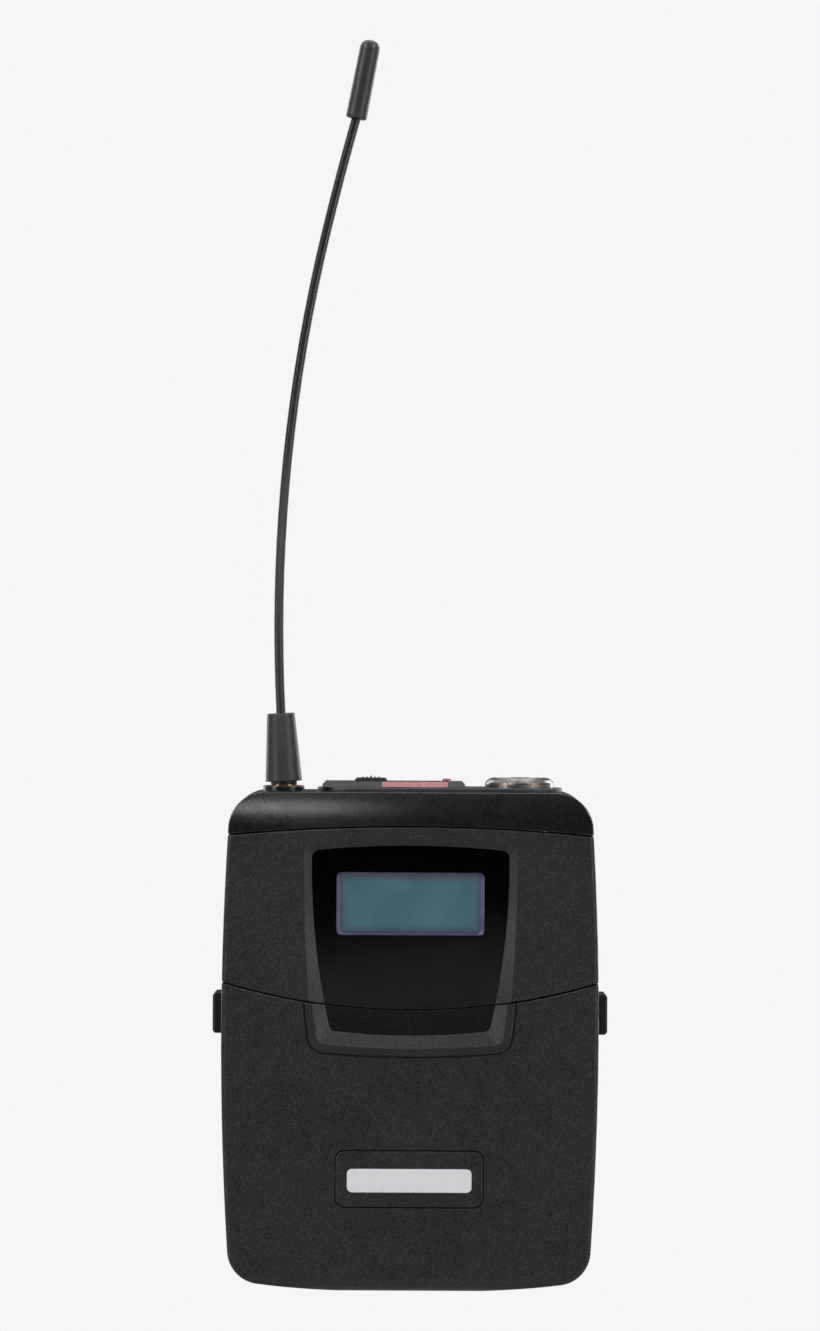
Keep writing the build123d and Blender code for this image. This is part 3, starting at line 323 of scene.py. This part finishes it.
def metal(name, dark, light, rough, brush, stretch=(1, 1, 1), depth=0.004 * MM):
    """Bare or plated metal with fine tool marks, tarnish and rubbed patches."""
    material, tree, shader = start_material(name)
    marks = add_noise(tree, brush, detail=4.0, stretch=stretch)
    stains = add_noise(tree, 1.6 * MM, detail=5.0)
    colour = blend_colours(tree, remap(tree, stains, 0.35, 0.7, 0, 1), light, dark)
    tree.links.new(colour, shader.inputs["Base Color"])
    shader.inputs["Metallic"].default_value = 1.0
    smear = combine(tree, marks, stains, 0.5)
    tree.links.new(remap(tree, smear, 0.3, 0.7, rough * 0.75, rough * 1.3), shader.inputs["Roughness"])
    add_relief(tree, shader, marks, depth, rounding=TOOLED_EDGE)
    return material


# ---- One material for each of the record's slots ----
LABEL_MARGIN, LABEL_ROW = 2.0 * MM, 3.6 * MM
RULE_HALF, RULE_SOFT = 0.10 * MM, 0.04 * MM
DISPLAY_HALF_X, DISPLAY_HALF_Z = 12.75 * MM, 5.4 * MM
DISPLAY_FADE = 1.9 * MM
CELL_LENGTH, CELL_BAND, CELL_FOOT, CELL_TOP = 49 * MM, 13.1 * MM, 1.5 * MM, 0.7 * MM
SHARP = 0.1 * MM  # over what height one print on a cell turns into the next


def case_plastic():
    return moulded("case_plastic", (0.0042, 0.0039, 0.0048), (0.0290, 0.0274, 0.0325), 0.42,
                   0.28 * MM, 0.024 * MM, worn=(0.055, 0.053, 0.06), specular=0.45, cloud=0.12)


def cap_plastic():
    return moulded("cap_plastic", (0.0005, 0.0005, 0.0007), (0.012, 0.0112, 0.0142), 0.28,
                   0.30 * MM, 0.026 * MM, worn=(0.03, 0.029, 0.034), specular=0.6, cells=0.15)


def latch_plastic():
    return moulded("latch_plastic", (0.005, 0.0049, 0.0054), (0.010, 0.0097, 0.0108), 0.45,
                   0.25 * MM, 0.015 * MM, worn=(0.03, 0.03, 0.032), specular=0.4)


def platform_plastic():
    return moulded("platform_plastic", (0.026, 0.026, 0.028), (0.04, 0.04, 0.043), 0.48,
                   0.22 * MM, 0.02 * MM, worn=(0.08, 0.08, 0.085))


def inner_plastic():
    return moulded("inner_plastic", (0.02, 0.02, 0.021), (0.032, 0.032, 0.034), 0.6,
                   0.5 * MM, 0.02 * MM, worn=(0.06, 0.06, 0.06))


def button_rubber():
    return moulded("button_rubber", (0.22, 0.22, 0.23), (0.3, 0.3, 0.31), 0.7,
                   0.3 * MM, 0.02 * MM, worn=(0.4, 0.4, 0.4))


def inlay_black():
    return moulded("inlay_black", (0.0008, 0.0008, 0.001), (0.0095, 0.009, 0.0105), 0.6,
                   0.3 * MM, 0.025 * MM, specular=0.15)


def mask_black():
    material, tree, shader = start_material("mask_black")
    dust = remap(tree, add_noise(tree, 0.25 * MM, detail=2.0), 0.6, 0.8, 0, 1)
    tree.links.new(blend_colours(tree, dust, (0.0012, 0.001, 0.0014), (0.003, 0.0028, 0.0034)),
                   shader.inputs["Base Color"])
    tree.links.new(remap(tree, add_noise(tree, 4 * MM), 0.3, 0.7, 0.3, 0.4), shader.inputs["Roughness"])
    shader.inputs["Specular IOR Level"].default_value = 0.0
    return material


def window_glass():
    """Thin clear acrylic: what lies behind shows through, and its outer side mirrors the room."""
    material = bpy.data.materials.new("window_glass")
    material.use_nodes = True
    tree = material.node_tree
    tree.nodes.clear()
    output = add_node(tree, "ShaderNodeOutputMaterial")
    clear = add_node(tree, "ShaderNodeBsdfTransparent")
    clear.inputs["Color"].default_value = (0.88, 0.89, 0.91, 1)
    gloss = add_node(tree, "ShaderNodeBsdfGlossy")
    tree.links.new(remap(tree, add_noise(tree, 6 * MM, detail=6.0), 0.3, 0.7, 0.05, 0.09),
                   gloss.inputs["Roughness"])
    edge = add_node(tree, "ShaderNodeFresnel")
    edge.inputs["IOR"].default_value = 1.45
    geometry = add_node(tree, "ShaderNodeNewGeometry")
    outside = remap(tree, geometry.outputs["Backfacing"], 0, 1, 1, 0)
    mix = add_node(tree, "ShaderNodeMixShader")
    tree.links.new(add_math(tree, "MULTIPLY", edge.outputs[0], outside), mix.inputs[0])
    tree.links.new(clear.outputs[0], mix.inputs[1])
    tree.links.new(gloss.outputs[0], mix.inputs[2])
    tree.links.new(mix.outputs[0], output.inputs[0])
    return material


def lcd_glass():
    """The unlit display: a teal field that greys towards its edges, warmer above and cooler below, given a
    painted glow in the same colours.
    """
    low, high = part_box("lcd_panel")
    centre = (low + high) / 2
    material, tree, shader = start_material("lcd_glass")
    axes = object_axes(tree)
    reach = []
    for axis, middle, half in (("X", centre.x, DISPLAY_HALF_X), ("Z", centre.z, DISPLAY_HALF_Z)):
        offset = add_math(tree, "ABSOLUTE", add_math(tree, "SUBTRACT", axes[axis], middle))
        reach.append(remap(tree, offset, half - DISPLAY_FADE, half + 0.1 * MM, 0, 1))
    rim = add_math(tree, "MAXIMUM", reach[0], reach[1])
    speckle = remap(tree, add_noise(tree, 0.26 * MM, detail=2.0, roughness=0.7), 0.36, 0.64, 0, 1)
    clouds = remap(tree, add_noise(tree, 7 * MM, detail=3.0), 0.35, 0.65, 0, 1)
    field = blend_colours(tree, combine(tree, clouds, speckle, 0.5),
                          (0.043, 0.113, 0.130), (0.080, 0.160, 0.178))
    height = remap(tree, axes["Z"], low.z + 2 * MM, high.z - 2 * MM, 0, 1)
    edge = blend_colours(tree, height, (0.042, 0.052, 0.078), (0.100, 0.094, 0.092))
    colour = blend_colours(tree, rim, field, edge)
    tree.links.new(colour, shader.inputs["Base Color"])
    # The field's own colour also goes to emission: a painted glow, as the display is not lit.
    tree.links.new(colour, shader.inputs["Emission Color"])
    shader.inputs["Emission Strength"].default_value = 0.5
    shader.inputs["Roughness"].default_value = 0.45
    shader.inputs["Specular IOR Level"].default_value = 0.3
    return material


def lcd_backlight():
    material, tree, shader = start_material("lcd_backlight")
    glow = remap(tree, add_noise(tree, 3 * MM), 0.3, 0.7, 0, 1)
    colour = blend_colours(tree, glow, (0.050, 0.036, 0.115), (0.120, 0.096, 0.195))
    tree.links.new(colour, shader.inputs["Base Color"])
    # Painted glow: the mottled violet colour is also emitted, though nothing behind the display is lit.
    tree.links.new(colour, shader.inputs["Emission Color"])
    shader.inputs["Emission Strength"].default_value = 0.3
    shader.inputs["Roughness"].default_value = 0.35
    return material


def board_laminate():
    return moulded("board_laminate", (0.012, 0.06, 0.03), (0.02, 0.1, 0.045), 0.35,
                   0.6 * MM, 0.01 * MM)


def chip_black():
    return moulded("chip_black", (0.012, 0.012, 0.012), (0.02, 0.02, 0.02), 0.5, 0.2 * MM, 0.01 * MM)


def tin_plate():
    return metal("tin_plate", (0.42, 0.42, 0.41), (0.62, 0.62, 0.6), 0.3, 0.3 * MM, (1, 1, 6))


def spring_steel():
    return metal("spring_steel", (0.4, 0.4, 0.41), (0.62, 0.62, 0.62), 0.25, 0.1 * MM, (6, 6, 1))


def cell_sleeve():
    """A dry cell's printed sleeve, with a copper-coloured band at one end and bare steel at both."""
    low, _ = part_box("aa_cell_left")
    foot, top = low.z + CELL_FOOT, low.z + CELL_LENGTH - CELL_TOP
    band = low.z + CELL_LENGTH - CELL_BAND
    material, tree, shader = start_material("cell_sleeve")
    height = object_axes(tree)["Z"]
    scuffs = remap(tree, add_noise(tree, 1.4 * MM, detail=5.0), 0.35, 0.65, 0, 1)
    sleeve = blend_colours(tree, scuffs, (0.016, 0.017, 0.02), (0.03, 0.031, 0.036))
    copper = blend_colours(tree, scuffs, (0.30, 0.13, 0.05), (0.42, 0.20, 0.08))
    steel = blend_colours(tree, scuffs, (0.38, 0.38, 0.37), (0.55, 0.55, 0.54))
    banded = blend_colours(tree, remap(tree, height, band, band + SHARP, 0, 1), sleeve, copper)
    ends = add_math(tree, "ADD", remap(tree, height, foot, foot + SHARP, 1, 0),
                    remap(tree, height, top, top + SHARP, 0, 1))
    tree.links.new(blend_colours(tree, ends, banded, steel), shader.inputs["Base Color"])
    tree.links.new(remap(tree, ends, 0, 1, 0, 0.9), shader.inputs["Metallic"])
    tree.links.new(remap(tree, scuffs, 0, 1, 0.24, 0.36), shader.inputs["Roughness"])
    add_relief(tree, shader, scuffs, 0.008 * MM)
    return material


def accent_red():
    return moulded("accent_red", (0.29, 0.11, 0.135), (0.46, 0.20, 0.235), 0.42,
                   0.3 * MM, 0.012 * MM, worn=(0.5, 0.28, 0.3))


def led_red():
    material, tree, shader = start_material("led_red")
    depth = remap(tree, add_noise(tree, 0.8 * MM), 0.3, 0.7, 0, 1)
    tree.links.new(blend_colours(tree, depth, (0.14, 0.008, 0.01), (0.26, 0.018, 0.02)),
                   shader.inputs["Base Color"])
    shader.inputs["Roughness"].default_value = 0.12
    shader.inputs["Coat Weight"].default_value = 0.6
    return material


def nickel():
    return metal("nickel", (0.13, 0.11, 0.10), (0.42, 0.39, 0.37), 0.3, 0.12 * MM, (1, 1, 5))


def gold_pin():
    return metal("gold_pin", (0.7, 0.46, 0.18), (0.9, 0.66, 0.32), 0.2, 0.1 * MM)


def brass():
    return metal("brass", (0.42, 0.29, 0.12), (0.68, 0.49, 0.22), 0.3, 0.15 * MM, (1, 1, 6))


def boot_rubber():
    return moulded("boot_rubber", (0.013, 0.012, 0.0147), (0.036, 0.0335, 0.040), 0.44,
                   0.3 * MM, 0.02 * MM, worn=(0.05, 0.048, 0.052), specular=0.55)


def whip_coating():
    return moulded("whip_coating", (0.012, 0.0105, 0.0108), (0.024, 0.020, 0.020), 0.30,
                   0.5 * MM, 0.008 * MM, specular=0.6)


def clip_black():
    return moulded("clip_black", (0.012, 0.012, 0.013), (0.02, 0.02, 0.021), 0.34,
                   0.3 * MM, 0.01 * MM, worn=(0.16, 0.155, 0.15), specular=0.6)


def label_grey():
    return moulded("label_grey", (0.74, 0.75, 0.77), (0.86, 0.87, 0.89), 0.42, 0.3 * MM, 0.004 * MM)


def ruled_label():
    """Satin silver film with a blank printed form: thin rules, and nothing written in them."""
    low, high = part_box("rating_label")
    material, tree, shader = start_material("ruled_label")
    axes = object_axes(tree)
    risen = add_math(tree, "SUBTRACT", axes["Z"], low.z + LABEL_MARGIN)
    from_rule = add_math(tree, "PINGPONG", risen, LABEL_ROW / 2)
    rules = remap(tree, from_rule, RULE_HALF, RULE_HALF + RULE_SOFT, 1, 0)
    side = high.x - LABEL_MARGIN
    inside = remap(tree, add_math(tree, "ABSOLUTE", axes["X"]), side, side + 0.05 * MM, 1, 0)
    printed = add_math(tree, "MULTIPLY", rules, inside)
    film = blend_colours(tree, remap(tree, add_noise(tree, 4 * MM, detail=4.0), 0.35, 0.65, 0, 1),
                         (0.26, 0.26, 0.265), (0.33, 0.33, 0.335))
    colour = blend_colours(tree, printed, film, (0.03, 0.03, 0.03))
    tree.links.new(colour, shader.inputs["Base Color"])
    shader.inputs["Metallic"].default_value = 0.55
    tree.links.new(remap(tree, add_noise(tree, 2 * MM, detail=5.0), 0.3, 0.7, 0.34, 0.46),
                   shader.inputs["Roughness"])
    add_relief(tree, shader, add_noise(tree, 0.4 * MM), 0.004 * MM)
    return material


MATERIALS = {
    "case_plastic": case_plastic,
    "cap_plastic": cap_plastic,
    "latch_plastic": latch_plastic,
    "platform_plastic": platform_plastic,
    "inner_plastic": inner_plastic,
    "button_rubber": button_rubber,
    "inlay_black": inlay_black,
    "mask_black": mask_black,
    "window_glass": window_glass,
    "lcd_glass": lcd_glass,
    "lcd_backlight": lcd_backlight,
    "board_laminate": board_laminate,
    "chip_black": chip_black,
    "tin_plate": tin_plate,
    "spring_steel": spring_steel,
    "cell_sleeve": cell_sleeve,
    "accent_red": accent_red,
    "led_red": led_red,
    "nickel": nickel,
    "gold_pin": gold_pin,
    "brass": brass,
    "boot_rubber": boot_rubber,
    "whip_coating": whip_coating,
    "clip_black": clip_black,
    "label_grey": label_grey,
}


def dress_nodes():
    """Gives each CAD node the material of its slot in the record, and the rating label a ruled one."""
    finished = {slot: make() for slot, make in MATERIALS.items()}
    for subpart in frame["record"]["subparts"]:
        mesh = NODES[subpart["node"]].data
        material = finished[subpart["material_slot"]]
        if not mesh.materials:
            mesh.materials.append(material)
        for index in range(len(mesh.materials)):
            mesh.materials[index] = material
    NODES["rating_label"].data.materials[0] = ruled_label()
    return finished


# ---- Pieces made here: the display's rings, and copies of the latch springs ----
TRANSMITTER = "transmitter"
CORNER_STEPS = 8


def add_piece(name, mesh, body, slot):
    """A new piece that rides on a body and takes its finish from a slot."""
    piece = bpy.data.objects.new(name, mesh)
    bpy.context.scene.collection.objects.link(piece)
    mesh.materials.append(FINISHED[slot])
    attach(piece, body)
    return piece


def rounded_rectangle(centre, half_x, half_z, radius, depth):
    """Points round a rectangle with round corners that faces forward, at a depth."""
    points = []
    for quarter in range(4):
        side_x = (1, -1, -1, 1)[quarter]
        side_z = (1, 1, -1, -1)[quarter]
        for step in range(CORNER_STEPS + 1):
            angle = pi / 2 * (quarter + step / CORNER_STEPS)
            x = centre[0] + side_x * (half_x - radius) + radius * cos(angle)
            z = centre[1] + side_z * (half_z - radius) + radius * sin(angle)
            points.append((x, -depth, z))
    return points


def skin_loops(name, loops):
    """A closed mesh between loops of points, each joined to the next and the last to the first."""
    count = len(loops[0])
    points = [point for loop in loops for point in loop]
    faces = []
    for span in range(len(loops)):
        here, there = span * count, (span + 1) % len(loops) * count
        for index in range(count):
            after = (index + 1) % count
            faces.append((here + index, here + after, there + after, there + index))
    mesh = bpy.data.meshes.new(name)
    mesh.from_pydata(points, [], faces)
    outward = bmesh.new()
    outward.from_mesh(mesh)
    bmesh.ops.recalc_face_normals(outward, faces=outward.faces)
    outward.to_mesh(mesh)
    outward.free()
    return mesh


# Each ring's section: growth in X and Z past the display's field, corner radius, rise in front of it, in mm
LIGHT_GUIDE = [
    (0.6, 0.6, 0.9, 0.08),
    (0.6, 0.6, 0.9, 0.50),
    (-0.12, -0.06, 0.9, 0.50),
    (-0.72, -0.30, 0.7, 0.14),
    (-0.72, -0.30, 0.7, 0.08),
]
PRINT_EDGE = [(-0.01, -0.01, 0.89, 0.56), (-0.01, -0.01, 0.89, 0.69), (-0.17, -0.15, 0.76, 0.60)]


def make_display_ring(name, section):
    """A ring round the display: its light guide, or the fine edge of the window's print, both with the
    painted glow of the lcd_backlight finish.
    """
    low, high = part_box("lcd_panel")
    centre = (0.0, (low.z + high.z) / 2)
    loops = []
    for grow_x, grow_z, radius, rise in section:
        half_x, half_z = DISPLAY_HALF_X + grow_x * MM, DISPLAY_HALF_Z + grow_z * MM
        loops.append(rounded_rectangle(centre, half_x, half_z, radius * MM, -low.y + rise * MM))
    add_piece(name, skin_loops(name, loops), TRANSMITTER, "lcd_backlight")


def make_return_spring(side):
    """A latch's return spring, copied from its CAD node into a piece of its own on the transmitter."""
    node = NODES["latch_spring_" + side]
    mesh = node.data.copy()
    mesh.transform(node.matrix_world)
    mesh.materials.clear()
    spring = add_piece("return_spring_" + side, mesh, TRANSMITTER, "spring_steel")
    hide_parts("latch_spring_" + side)
    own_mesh(spring)


make_camera()
make_world()
make_floor()
make_lights()
FINISHED = dress_nodes()
make_display_ring("display_light_guide", LIGHT_GUIDE)
make_display_ring("display_print_edge", PRINT_EDGE)
make_return_spring("left")
make_return_spring("right")
